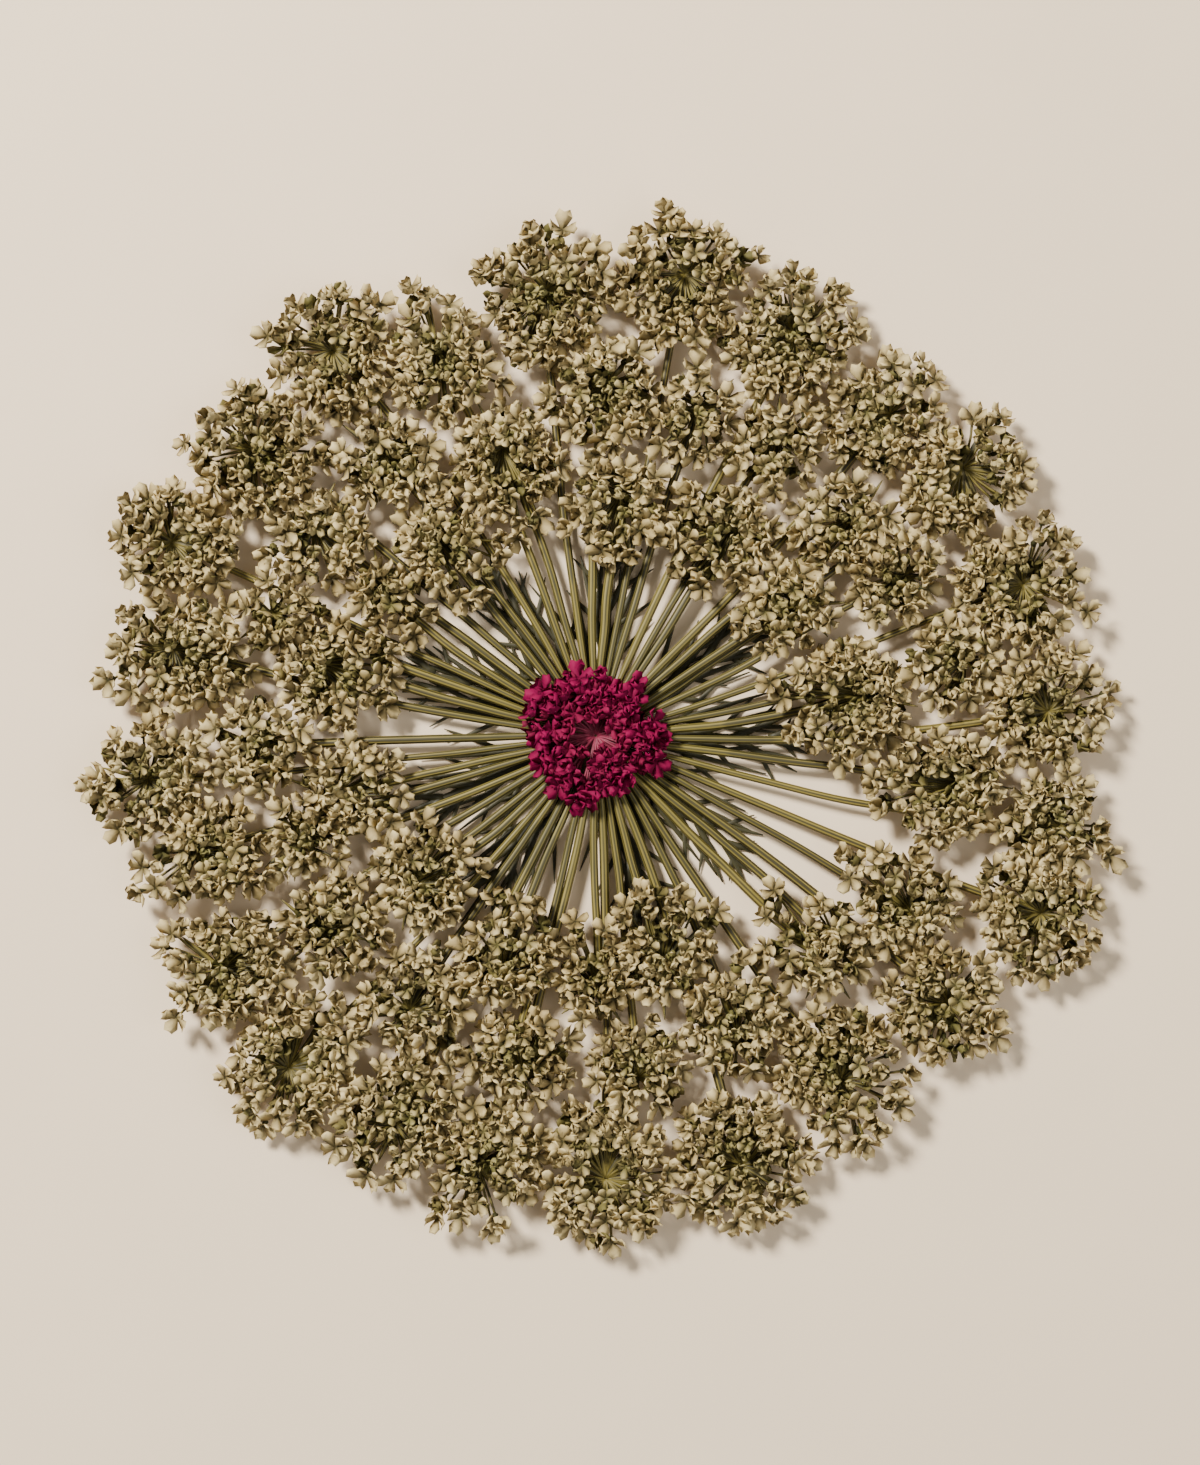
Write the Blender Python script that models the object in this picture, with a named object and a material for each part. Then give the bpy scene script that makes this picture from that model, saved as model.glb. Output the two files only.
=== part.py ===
"""A pressed flower head of Queen Anne's lace, lying face up on its flat back.

The head is a flat umbel: a small hub with many thin rays, and on the tip of each ray one umbellet,
a little cluster of dried cream florets. A dyed crimson umbellet lies over the hub, and forked green
bracts lie under the rays. The origin is at the middle of the hub's flat back, and the face looks up
along +Z.
"""

import math
import random

import bmesh
import bpy
from mathutils import Matrix, Vector

MM = 0.001
UP = Vector((0, 0, 1))

# The whole head, in metres
HEAD_RADIUS = 42.8 * MM
OPEN_RADIUS = 14.0 * MM  # only bare rays show inside this
RIM_SCATTER = 2.6 * MM  # how far some umbellets of the outline stay back
OPEN_SCATTER = 8.0 * MM  # how far some umbellets by the bare rays stay back

# The umbellets' sizes and places
UMBELLET_COUNT = 57
UMBELLET_SMALL = 4.4 * MM  # radius of one near the middle
UMBELLET_LARGE = 5.8 * MM  # radius of one at the rim
SIZE_VARIATION = (0.93, 1.05)
UMBELLET_SPREAD = 1.35  # how far florets reach into free ground, of the umbellet's radius
SIDE_GAP = 0.2 * MM  # clear space between two neighbours
SPIRAL_START = math.radians(139)  # the first umbellet's angle round the head
SPIRAL_WOBBLE = math.radians(6)
PRESS_ROUNDS = 400
SEED = 3

# Heights above the surface that the head lies on
BRACT_THICKNESS = 0.6 * MM
BRACT_LIFT = 0.1 * MM  # under the bracts that don't carry the head
RAY_LOW = 0.85 * MM
RAY_THICKNESS = 0.66 * MM
RAY_TOP = RAY_LOW + RAY_THICKNESS
SEAT_GAP = 0.3 * MM  # between a ray's tip and the umbellet on it
CLUSTER_LOW = RAY_TOP + SEAT_GAP
CLUSTER_HEIGHT = 1.9 * MM

# Hub and rays
HUB_RADIUS = 5.6 * MM
HUB_DOME = 0.3 * MM
HUB_DOME_SHARE = 0.55  # of the hub's radius
RAY_MIDDLE_WIDTH = 0.66 * MM
RAY_TIP_WIDTH = 0.8 * MM
RAY_TIP_SHARE = 0.25  # how far a ray runs on past its umbellet's middle, of the umbellet's radius
RAY_TIP_PLAY = 0.6  # how far to one side of that middle a tip may lie, of the same radius
RAY_GAP = 0.15 * MM  # clear space between two rays
SPREAD_ROUNDS = 200

# Forked bracts, under the rays
FOOT_RADIUS = 2.6 * MM  # the hub's flat back, with the stem cut off flush
FOOT_FLARE = 1.3
BRACT_COUNT = 9
CARRYING_BRACTS = 3  # the ones that the head rests on
BRACT_LENGTH = 17.0 * MM
BRACT_LENGTH_VARIATION = (0.88, 1.0)
BRACT_WOBBLE = math.radians(7)
BRACT_WIDTH = 1.3 * MM
NECK_SHARE = 0.4  # of the bract's length, before it forks
FORK_SHARE = 0.1  # of the bract's length, where the side lobes grow
LOBE_LENGTH = 4.5 * MM
LOBE_WIDTH = 0.72 * MM
LOBE_ANGLE = math.radians(32)

# An umbellet's small core, as shares of the umbellet's radius and height
CORE_BACK = 0.36
CORE_RIM = 0.62
CORE_TOP = 0.26
CORE_RIM_HEIGHT = 0.4
CORE_TOP_RISE = 0.16
CROWN_RISE = 0.2
UNEVENNESS = 0.09

# Its florets, as shares of the same two, and larger than life, so that few of them cover it
FLORET_ROOM = 0.51 * MM  # an umbellet has one rim floret for each of these in its radius
RIM_REACH = (0.24, 0.42)
RIM_RISE = (0.06, 0.2)
RIM_TURN = math.radians(9)
RIM_FLARE = 0.92
RIM_POINT = 0.5  # of the floret's own length
INNER_REACH = 0.07
INNER_RISE = (0.14, 0.24)
INNER_TURN = math.radians(28)
INNER_FLARE = 0.86
INNER_POINT = 0.8

# Crimson umbellet over the hub
CRIMSON_FLORET_COUNT = 12
CRIMSON_RADIUS = 6.0 * MM
CRIMSON_LOW = RAY_TOP + HUB_DOME + SEAT_GAP
CRIMSON_HEIGHT = 1.8 * MM

CREAM = (0.56, 0.45, 0.27, 1.0)
OLIVE = (0.25, 0.23, 0.08, 1.0)
CRIMSON = (0.33, 0.012, 0.06, 1.0)


def clear_scene():
    for old in list(bpy.data.objects):
        bpy.data.objects.remove(old)


def make_material(name, colour, roughness):
    material = bpy.data.materials.new(name)
    material.use_nodes = True
    shader = material.node_tree.nodes["Principled BSDF"]
    shader.inputs["Base Color"].default_value = colour
    shader.inputs["Roughness"].default_value = roughness
    shader.inputs["Metallic"].default_value = 0.0
    return material


def add_object(name, shape, material, collection):
    """A mesh object made from a bmesh, which is freed."""
    mesh = bpy.data.meshes.new(name)
    bmesh.ops.recalc_face_normals(shape, faces=shape.faces)
    shape.to_mesh(mesh)
    shape.free()
    mesh.materials.append(material)
    made = bpy.data.objects.new(name, mesh)
    collection.objects.link(made)
    return made


def draw_out(shape, face, offset, scale):
    """Extrudes one face along offset, scaled about its middle, and returns the new end face."""
    end = bmesh.ops.extrude_discrete_faces(shape, faces=[face])["faces"][0]
    middle = end.calc_center_median()
    for vert in end.verts:
        vert.co = middle + offset + (vert.co - middle) * scale
    return end


def raise_floret(shape, face, offset, flare, point):
    """One floret: a stalk that flares from a face of the cluster's core and ends in a blunt tip."""
    end = draw_out(shape, face, offset, flare)
    tip = bmesh.ops.poke(shape, faces=[end])["verts"][0]
    tip.co += offset * point


def heading(spot):
    """The angle round the head at which a spot lies."""
    return math.atan2(spot.y, spot.x)


def flat_way(angle):
    return Vector((math.cos(angle), math.sin(angle), 0))


def faces_round(shape):
    """The side faces of a cone made about the Z axis, in order round it, then its top face."""
    top = max(shape.faces, key=lambda face: face.calc_center_median().z)
    sides = [face for face in shape.faces if len(face.verts) == 4]
    return sorted(sides, key=lambda face: heading(face.calc_center_median())), top


def either_way(draw, most):
    """A random amount, up to a given size on either side of none."""
    return draw.uniform(-most, most)


def floret_cluster(radius, low, height, sides, draw):
    """An umbellet about the Z axis: a small core, with florets standing out of it all over."""
    shape = bmesh.new()
    rim_height = height * CORE_RIM_HEIGHT
    bmesh.ops.create_cone(
        shape,
        cap_ends=True,
        segments=sides,
        radius1=radius * CORE_BACK,
        radius2=radius * CORE_RIM,
        depth=rim_height,
        matrix=Matrix.Translation((0, 0, low + rim_height / 2)),
    )
    rim, top = faces_round(shape)
    slope = radius * (CORE_RIM - CORE_TOP)
    bmesh.ops.inset_region(shape, faces=[top], thickness=slope, depth=height * CORE_TOP_RISE)
    bmesh.ops.rotate(shape, verts=top.verts, matrix=Matrix.Rotation(math.pi / sides, 3, "Z"))
    inner = [face for edge in top.edges for face in edge.link_faces if face != top]
    for vert in shape.verts:
        out = Vector((vert.co.x, vert.co.y, 0))
        vert.co += out * either_way(draw, UNEVENNESS) + UP.cross(out) * either_way(draw, UNEVENNESS)
    for face in rim:
        out = flat_way(heading(face.calc_center_median()) + either_way(draw, RIM_TURN))
        offset = out * radius * draw.uniform(*RIM_REACH) + UP * height * draw.uniform(*RIM_RISE)
        raise_floret(shape, face, offset, RIM_FLARE, RIM_POINT)
    for face in inner:
        out = flat_way(heading(face.calc_center_median()) + either_way(draw, INNER_TURN))
        offset = out * radius * INNER_REACH + UP * height * draw.uniform(*INNER_RISE)
        raise_floret(shape, face, offset, INNER_FLARE, INNER_POINT)
    crown = bmesh.ops.poke(shape, faces=[top])["verts"][0]
    crown.co += UP * height * CROWN_RISE
    return shape


def press_apart(draw):
    """Places and radii of the umbellets, in order round the head, as the press spreads them.

    They start on the spiral that flower heads grow in, with the smaller ones near the middle.
    """
    golden = math.pi * (3 - math.sqrt(5))
    spots = []
    for k in range(UMBELLET_COUNT):
        share = (k + 0.5) / UMBELLET_COUNT
        radius = UMBELLET_SMALL + (UMBELLET_LARGE - UMBELLET_SMALL) * share
        radius *= draw.uniform(*SIZE_VARIATION)
        least = OPEN_RADIUS + radius * UMBELLET_SPREAD + draw.random() ** 2 * OPEN_SCATTER
        most = HEAD_RADIUS - radius * UMBELLET_SPREAD - draw.random() ** 2 * RIM_SCATTER
        reach = math.sqrt(least**2 + (most**2 - least**2) * share)
        angle = SPIRAL_START + k * golden + either_way(draw, SPIRAL_WOBBLE)
        place = flat_way(angle) * reach
        spots.append((place, radius, least, most))
    for _ in range(PRESS_ROUNDS):
        for i, (place, radius, least, most) in enumerate(spots):
            for other, other_radius, _, _ in spots[:i]:
                apart = place - other
                short = radius + other_radius - apart.length
                if short > 0:
                    push = apart.normalized() * short / 2
                    place += push
                    other -= push
            place *= min(max(place.length, least), most) / place.length
    placed = [(place, radius) for place, radius, _, _ in spots]
    return sorted(placed, key=lambda spot: heading(spot[0]))


def press_to_cell(shape, spot, spots):
    """Presses a cluster in where a neighbour meets it, so that the two share the ground between."""
    place, radius = spot
    walls = []
    for other, other_radius in spots:
        apart = other - place
        if 0 < apart.length < (radius + other_radius) * UMBELLET_SPREAD + SIDE_GAP:
            share = (apart.length**2 + radius**2 - other_radius**2) / (2 * apart.length)
            walls.append((apart.normalized(), share - SIDE_GAP / 2))
    for vert in shape.verts:
        flat = Vector((vert.co.x, vert.co.y, 0))
        out = flat.normalized()
        free = [wall / out.dot(way) for way, wall in walls if out.dot(way) > 0]
        room = min([radius * UMBELLET_SPREAD, *free])
        reach = min(flat.length * room / radius, room)
        vert.co = out * reach + UP * vert.co.z
    bmesh.ops.translate(shape, verts=shape.verts, vec=place)


def along_ray(start, tip, reach, share):
    """A point on a ray, which turns evenly from its start on the hub to its tip."""
    return flat_way(start + (tip - start) * share) * (HUB_RADIUS + (reach - HUB_RADIUS) * share)


def spread_rays(spots):
    """The start, tip and reach of each ray, the first two as angles, so that no two rays touch.

    The rays leave the hub evenly. A tip may lie to one side of its umbellet's middle.
    """
    step = math.tau / len(spots)
    aims = [heading(place) for place, _ in spots]
    first = sum(aim - k * step for k, aim in enumerate(aims)) / len(spots)
    starts = [first + k * step for k in range(len(spots))]
    tips = list(aims)
    reaches = [place.length + RAY_TIP_SHARE * radius for place, radius in spots]
    need = (RAY_MIDDLE_WIDTH + RAY_TIP_WIDTH) / 2 + RAY_GAP
    pairs = [(k - far, k) for k in range(len(spots)) for far in (1, 2, 3)]
    for _ in range(SPREAD_ROUNDS):
        for one, two in pairs:
            near = min(reaches[one], reaches[two])
            passing = []
            for k in (one, two):
                share = (near - HUB_RADIUS) / (reaches[k] - HUB_RADIUS)
                passing.append(heading(along_ray(starts[k], tips[k], reaches[k], share)))
            between = (passing[1] - passing[0] + math.pi) % math.tau - math.pi
            short = max(need / near - between, 0)
            tips[one] -= short / 2
            tips[two] += short / 2
        for k, (place, radius) in enumerate(spots):
            play = RAY_TIP_PLAY * radius / place.length
            tips[k] = min(max(tips[k], aims[k] - play), aims[k] + play)
    return list(zip(starts, tips, reaches))


def hub_and_rays(spots):
    """The upper tier: a hub with one side face for each ray, drawn out to its umbellet."""
    shape = bmesh.new()
    rays = spread_rays(spots)
    bmesh.ops.create_cone(
        shape,
        cap_ends=True,
        segments=len(rays),
        radius1=HUB_RADIUS,
        radius2=HUB_RADIUS,
        depth=RAY_THICKNESS,
        matrix=Matrix.Translation((0, 0, RAY_LOW + RAY_THICKNESS / 2)),
    )
    rim, top = faces_round(shape)
    turn = rays[0][0] - heading(rim[0].calc_center_median())
    bmesh.ops.rotate(shape, verts=shape.verts, matrix=Matrix.Rotation(turn, 3, "Z"))
    bmesh.ops.inset_region(
        shape, faces=[top], thickness=HUB_RADIUS * (1 - HUB_DOME_SHARE), depth=HUB_DOME
    )
    for end, ray in zip(rim, rays):
        for share, width in ((0.5, RAY_MIDDLE_WIDTH), (1, RAY_TIP_WIDTH)):
            middle = end.calc_center_median()
            along = along_ray(*ray, share) + UP * middle.z - middle
            end = widen(draw_out(shape, end, along, 1), along, width)
    return shape


def widen(face, along, width):
    """Squares a stalk's end face to its direction, at a given width, and returns the face."""
    side = UP.cross(along).normalized()
    middle = face.calc_center_median()
    for vert in face.verts:
        offset = vert.co - middle
        way = 1 if offset.dot(side) > 0 else -1
        vert.co = middle + side * way * width / 2 + UP * offset.z
    return face


def side_faces(shape, end):
    """The two upright faces of the stretch that an end face was drawn out with."""
    shape.normal_update()
    around = [face for edge in end.edges for face in edge.link_faces if face != end]
    return [face for face in around if abs(face.normal.z) < 0.5]


def grow_bract(shape, face, length, angle, lift):
    """One bract: a flat stalk that forks into a middle lobe and one on either side."""
    out = flat_way(angle)
    neck = widen(draw_out(shape, face, out * length * NECK_SHARE + lift, 1), out, BRACT_WIDTH)
    fork = draw_out(shape, neck, out * length * FORK_SHARE, 1)
    sides = side_faces(shape, fork)
    middle = out * length * (1 - NECK_SHARE - FORK_SHARE)
    widen(draw_out(shape, fork, middle, 1), out, LOBE_WIDTH)
    for side in sides:
        way = 1 if side.normal.dot(UP.cross(out)) > 0 else -1
        lean = flat_way(angle + way * LOBE_ANGLE)
        widen(draw_out(shape, side, lean * LOBE_LENGTH, 1), lean, LOBE_WIDTH)


def foot_and_bracts(draw):
    """The lower tier: the hub's flat back, with the forked bracts drawn out of its side."""
    shape = bmesh.new()
    bmesh.ops.create_cone(
        shape,
        cap_ends=True,
        segments=2 * BRACT_COUNT,
        radius1=FOOT_RADIUS,
        radius2=FOOT_RADIUS,
        depth=BRACT_THICKNESS,
        matrix=Matrix.Translation((0, 0, BRACT_THICKNESS / 2)),
    )
    rim, top = faces_round(shape)
    into_hub = RAY_LOW + RAY_THICKNESS / 2 - BRACT_THICKNESS
    draw_out(shape, top, UP * into_hub, FOOT_FLARE)
    for number, face in enumerate(rim[::2]):
        carries = number % (BRACT_COUNT // CARRYING_BRACTS) == 0
        lift = UP * (0 if carries else BRACT_LIFT)
        angle = heading(face.calc_center_median()) + either_way(draw, BRACT_WOBBLE)
        length = BRACT_LENGTH * draw.uniform(*BRACT_LENGTH_VARIATION)
        grow_bract(shape, face, length, angle, lift)
    return shape


def fuse(kept, added):
    """Joins two solids that run into each other as one, and removes the second."""
    union = kept.modifiers.new("union", "BOOLEAN")
    union.operation = "UNION"
    union.object = added
    graph = bpy.context.evaluated_depsgraph_get()
    kept.data = bpy.data.meshes.new_from_object(kept.evaluated_get(graph))
    kept.modifiers.clear()
    bpy.data.objects.remove(added)


def main():
    clear_scene()
    head = bpy.data.collections.new("queen_annes_lace")
    bpy.context.scene.collection.children.link(head)
    cream = make_material("dried_floret", CREAM, 0.75)
    olive = make_material("dried_stalk", OLIVE, 0.6)
    crimson = make_material("dyed_floret", CRIMSON, 0.65)
    draw = random.Random(SEED)
    spots = press_apart(draw)
    for number, spot in enumerate(spots, 1):
        sides = round(spot[1] / FLORET_ROOM)
        shape = floret_cluster(spot[1], CLUSTER_LOW, CLUSTER_HEIGHT, sides, draw)
        turn = Matrix.Rotation(draw.uniform(0, math.tau), 3, "Z")
        bmesh.ops.rotate(shape, verts=shape.verts, matrix=turn)
        press_to_cell(shape, spot, spots)
        add_object(f"umbellet_{number:02d}", shape, cream, head)
    shape = floret_cluster(CRIMSON_RADIUS, CRIMSON_LOW, CRIMSON_HEIGHT, CRIMSON_FLORET_COUNT, draw)
    add_object("crimson_umbellet", shape, crimson, head)
    rays = add_object("hub_rays", hub_and_rays(spots), olive, head)
    foot = add_object("foot", foot_and_bracts(draw), olive, head)
    fuse(rays, foot)


main()
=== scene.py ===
"""The looks of a pressed flower head of Queen Anne's lace, modelled piece by piece on its frame.

Each umbellet of the frame gets its florets, with five curled petals each, and the stalks that
carry them. The frame's rays, hub, foot and forked bracts are modelled again with their ribs, and
the dyed crimson umbellet lies over the hub. Lengths are in metres.
"""

import math
import random

import bmesh
import bpy
from bpy.props import FloatProperty, FloatVectorProperty, IntProperty, PointerProperty
from mathutils import Matrix, Vector
from mathutils.geometry import convex_hull_2d


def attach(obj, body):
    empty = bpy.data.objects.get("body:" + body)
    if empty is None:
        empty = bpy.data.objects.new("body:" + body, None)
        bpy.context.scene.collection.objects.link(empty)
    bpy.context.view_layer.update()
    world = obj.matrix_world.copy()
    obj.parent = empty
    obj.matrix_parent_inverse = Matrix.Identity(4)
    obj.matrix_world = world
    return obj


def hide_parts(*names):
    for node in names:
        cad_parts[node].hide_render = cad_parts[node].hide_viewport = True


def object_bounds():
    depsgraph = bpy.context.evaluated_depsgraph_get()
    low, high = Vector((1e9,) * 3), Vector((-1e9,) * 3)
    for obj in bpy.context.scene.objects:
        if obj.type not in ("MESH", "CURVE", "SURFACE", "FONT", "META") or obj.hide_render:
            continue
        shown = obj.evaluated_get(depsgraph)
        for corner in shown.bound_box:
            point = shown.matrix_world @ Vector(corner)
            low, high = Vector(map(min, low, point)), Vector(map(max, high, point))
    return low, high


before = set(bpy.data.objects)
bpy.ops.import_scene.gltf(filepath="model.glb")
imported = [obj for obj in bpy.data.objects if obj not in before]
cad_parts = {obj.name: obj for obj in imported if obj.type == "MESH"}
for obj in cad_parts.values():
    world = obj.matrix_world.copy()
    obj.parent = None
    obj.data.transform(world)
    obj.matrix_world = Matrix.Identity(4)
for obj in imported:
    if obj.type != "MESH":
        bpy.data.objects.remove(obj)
CAD_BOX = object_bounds()

bl_info = {
    "name": "Pressed Queen Anne's Lace Head",
    "version": (1, 0, 0),
    "blender": (4, 5, 0),
    "location": "View3D > Sidebar > Pressed Lace",
    "description": "Models the florets, stalks, rays and bracts of a pressed flower head",
    "category": "Add Mesh",
}

MM = 0.001
UP = Vector((0, 0, 1))
GOLDEN_TURN = math.pi * (3 - math.sqrt(5))
SAME_PLACE = 0.002 * MM

# An umbellet: its florets' lowest and highest places, how deep it is pressed, the parts of its
# reach where its rim starts and its middle ends, and its counts
CREAM_HEIGHTS = (2.25 * MM, 2.8 * MM)
CRIMSON_HEIGHTS = (2.4 * MM, 3.0 * MM)
PRESSED_TOP = CAD_BOX[1].z + 0.02 * MM
PRESSED_DEPTH = 0.9 * MM
RIM_PART = 0.74
MIDDLE_PART = 0.3
FORMS_OF_A_KIND = 5
BRACTEOLES = 7

# The ground of a floret among six others, over the square of the distance between them
CLOSE_PACKING = 0.87

# What a floret keeps of its colours at each shade value, from the faded ones to the fresh ones. The two
# darkest stops serve only the florets under the others and darken them as painted shade between the florets
# on top.
AGE_AND_UNDER_SHADE_TINTS = (
    (0.0, (0.12, 0.105, 0.06)),
    (0.2, (0.28, 0.25, 0.16)),
    (0.3, (0.68, 0.64, 0.54)),
    (0.6, (0.93, 0.91, 0.86)),
    (1.0, (1, 1, 1)),
)

# A ray: straight from its start to its bend, at its own level between its two ends
RAY_START = 2.4 * MM
RAY_BEND = 5.6 * MM
RAY_SPANS = 8
RAY_LEVELS = (1.02 * MM, 1.4 * MM)
RAY_FOOT_HEIGHT = 1.4 * MM
RAY_TIP_HEIGHT = 1.36 * MM
UMBELLET_ROOT_HEIGHT = 1.5 * MM
CRIMSON_ROOT_HEIGHT = 1.75 * MM

# The hub and the cut stem under it: each step's rise, and the share of its width that it keeps
HUB_RADIUS = 2.9 * MM
HUB_THICKNESS = 0.6 * MM
HUB_MIDDLE = 1.15 * MM
HUB_STEPS = ((0.2 * MM, 0.82), (0.1 * MM, 0.6))
STEM_STEPS = ((-0.25 * MM, 0.8), (-0.55 * MM, 0.94))
STEM_WALL = 0.35 * MM
STEM_HOLLOW = 0.06 * MM
STEM_RIBS = 18
STEM_RIB_DEPTH = 0.035

# A bract, and for each pair of its side lobes the place, length and angle, as shares. The lobes and twigs
# are real parts of a bract, but their number, width and dark colour also fill the gaps between the rays
# with painted shade.
BRACT_FOOT = 2.2 * MM
BRACT_LEAST_REACH = 16.2 * MM
BRACT_RAISED_TIP = 0.35 * MM
BRACT_LOBES = ((0.06, 2.1, 0.62), (0.32, 1.45, 0.68), (0.54, 1.0, 0.9), (0.72, 0.6, 1.0))
TWIG_SHARE = 0.5

# The heights between which the frame's rays and bracts end, and the least distance of two ends
RAY_END_HEIGHTS = (0.85 * MM, 1.5 * MM)
BRACT_END_HEIGHTS = (0.0, 0.75 * MM)
END_DISTANCE = 0.6 * MM

# What each piece's random draws start from
UMBELLETS_SEED = 11
RAYS_SEED = 12
BRACTS_SEED = 13
CRIMSON_SEED = 14

# The stage: each light's place, width, power and tint, and the shape of the picture
KEY_LIGHT = ((-0.32, 0.3, 0.42), 0.14, 8.6, (1.0, 0.95, 0.88))
FILL_LIGHT = ((0.4, -0.1, 0.35), 0.5, 1.35, (1.0, 0.97, 0.93))
ROOM_LIGHT = 0.23
ROOM_TINT = (1.0, 0.98, 0.95, 1)
PICTURE_HEIGHT_OVER_WIDTH = 1465 / 1200

UMBELLET_NODES = sorted(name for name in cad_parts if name.startswith("umbellet_"))


def size(name, description, default):
    """A length that a user may change, given in millimetres."""
    return FloatProperty(
        name=name, description=description, default=default * MM, min=0, unit="LENGTH", precision=5
    )


def share(name, description, default):
    """A proportion that a user may change."""
    return FloatProperty(name=name, description=description, default=default, min=0, subtype="FACTOR")


def turn(name, description, degrees):
    """An angle that a user may change, given in degrees."""
    return FloatProperty(
        name=name, description=description, default=math.radians(degrees), unit="ROTATION"
    )


def colour(name, description, default):
    """A colour that a user may change."""
    return FloatVectorProperty(
        name=name, description=description, default=default, size=3, min=0, max=1, subtype="COLOR"
    )


class FloretSettings(bpy.types.PropertyGroup):
    petal_length: size("Petal length", "From the floret's middle to a petal's rolled tip", 1.12)
    petal_width: size("Petal width", "Across a petal's widest place", 0.83)
    petal_thickness: size("Petal thickness", "Through a dried petal", 0.13)
    claw_width: size("Claw width", "Across a petal's narrow foot", 0.16)
    notch: size("Notch", "Depth of the notch in a petal's tip", 0.12)
    cup: size("Cup", "How far a petal's middle lies below its edges", 0.1)
    ovary_length: size("Ovary length", "From a floret's stalk to its petals", 0.55)
    ovary_width: size("Ovary width", "Across the ovary", 0.46)
    room: size("Room", "Distance between two florets of an umbellet", 1.46)
    middle_scale: share("Middle scale", "Size of the florets in an umbellet's middle", 0.7)
    rim_scale: share("Rim scale", "Size of the florets on an umbellet's rim", 1.14)
    # The florets under the others are real, but they are drawn dark as painted shade in the gaps between
    # the florets on top.
    under_share: share("Under share", "Faded florets under the others, for each one on top", 0.45)
    under_depth: size("Under depth", "How far the faded florets lie under the others", 0.55)
    bare_middle: share("Bare middle", "Most of an umbellet's reach that may be free of florets", 0.36)
    rim_tilt: turn("Rim tilt", "How far the florets on the rim lean outwards", 42)
    tip_colour: colour("Tip colour", "Faded cream of a petal's tip", (0.72, 0.58, 0.285))
    petal_colour: colour("Petal colour", "Tan of a petal's middle", (0.44, 0.345, 0.16))
    # The claw's dark brown is partly the dried petal's own colour and partly painted shade where the petals
    # meet.
    claw_colour: colour("Claw colour", "Brown of a petal's foot", (0.08, 0.062, 0.018))
    ovary_colour: colour("Ovary colour", "Olive of the ovary and its top", (0.035, 0.033, 0.008))
    green_colour: colour("Green colour", "Olive green of the young florets", (0.15, 0.145, 0.035))


class StalkSettings(bpy.types.PropertyGroup):
    ray_width: size("Ray width", "Across a ray in its middle", 0.64)
    ray_tip_width: size("Ray tip width", "Across a ray where it meets its umbellet", 0.74)
    ray_flatness: share("Ray flatness", "Thickness of a pressed ray over its width", 0.82)
    ray_ribs: IntProperty(name="Ray ribs", description="Ribs round a ray", default=6, min=3)
    rib_depth: share("Rib depth", "Depth of the grooves between ribs, of a ray's radius", 0.24)
    pedicel_width: size("Pedicel width", "Across a floret's own stalk", 0.24)
    bracteole_length: size("Bracteole length", "Length of the blades under an umbellet", 3.9)
    bracteole_width: size("Bracteole width", "Across the blades under an umbellet", 0.5)
    # Straw and olive are the ends of a stalk's colour: the real streaks move between them, and so does the
    # painted shade that darkens the grooves and lights the ridges.
    straw_colour: colour("Straw colour", "Ridges of a dried ray", (0.195, 0.154, 0.031))
    olive_colour: colour("Olive colour", "Grooves of a dried ray", (0.035, 0.028, 0.008))
    green_colour: colour("Green colour", "Stalks near the hub and the middles", (0.07, 0.066, 0.012))


class BractSettings(bpy.types.PropertyGroup):
    width: size("Width", "Across a bract's stalk", 1.15)
    lobe_width: size("Lobe width", "Across a lobe where it leaves the stalk", 0.7)
    flatness: share("Flatness", "Thickness of a bract over its width", 0.4)
    fork: share("Fork", "Where a bract's stalk widens, along its length", 0.32)
    lobe_length: size("Lobe length", "Length of a side lobe", 4.6)
    lobe_angle: turn("Lobe angle", "How far a side lobe spreads", 32)
    # Dark olive of a dried bract, kept dark enough to serve as painted shade in the gaps between the rays.
    bract_colour: colour("Bract colour", "Dark olive of a dried bract", (0.032, 0.029, 0.008))


class CrimsonSettings(bpy.types.PropertyGroup):
    bare_middle: share("Bare middle", "Part of its reach where only the dyed stalks show", 0.27)
    scale: share("Floret scale", "Size of a crimson floret over a cream one", 1.0)
    room: size("Room", "Distance between two crimson florets", 1.36)
    tip_colour: colour("Tip colour", "Crimson of a petal's tip", (0.25, 0.001, 0.058))
    petal_colour: colour("Petal colour", "Crimson of a petal's middle", (0.21, 0.001, 0.049))
    claw_colour: colour("Claw colour", "Dark wine of a petal's foot", (0.15, 0.001, 0.034))
    heart_colour: colour("Heart colour", "Crimson of the florets in the middle", (0.22, 0.012, 0.045))
    stalk_colour: colour("Stalk colour", "Faded crimson of the dyed stalks", (0.2, 0.015, 0.045))


class StageSettings(bpy.types.PropertyGroup):
    lens: FloatProperty(name="Lens", description="Camera lens", default=60, unit="CAMERA")
    view_width: size("View width", "What the picture shows across", 96)
    floor_colour: colour("Floor colour", "Plain pale card", (0.95, 0.78, 0.56))


class LaceSettings(bpy.types.PropertyGroup):
    florets: PointerProperty(type=FloretSettings)
    stalks: PointerProperty(type=StalkSettings)
    bracts: PointerProperty(type=BractSettings)
    crimson: PointerProperty(type=CrimsonSettings)
    stage: PointerProperty(type=StageSettings)


def flat_way(angle):
    """The level direction at a heading."""
    return Vector((math.cos(angle), math.sin(angle), 0))


def heading(place):
    """The heading of a place, seen from above the middle."""
    return math.atan2(place.y, place.x)


def flat(place):
    """A place moved straight down to the floor."""
    return Vector((place.x, place.y, 0))


def deselect_all():
    """Leaves nothing selected, in object mode."""
    if bpy.context.object and bpy.context.object.mode != "OBJECT":
        bpy.ops.object.mode_set(mode="OBJECT")
    bpy.ops.object.select_all(action="DESELECT")


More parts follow.
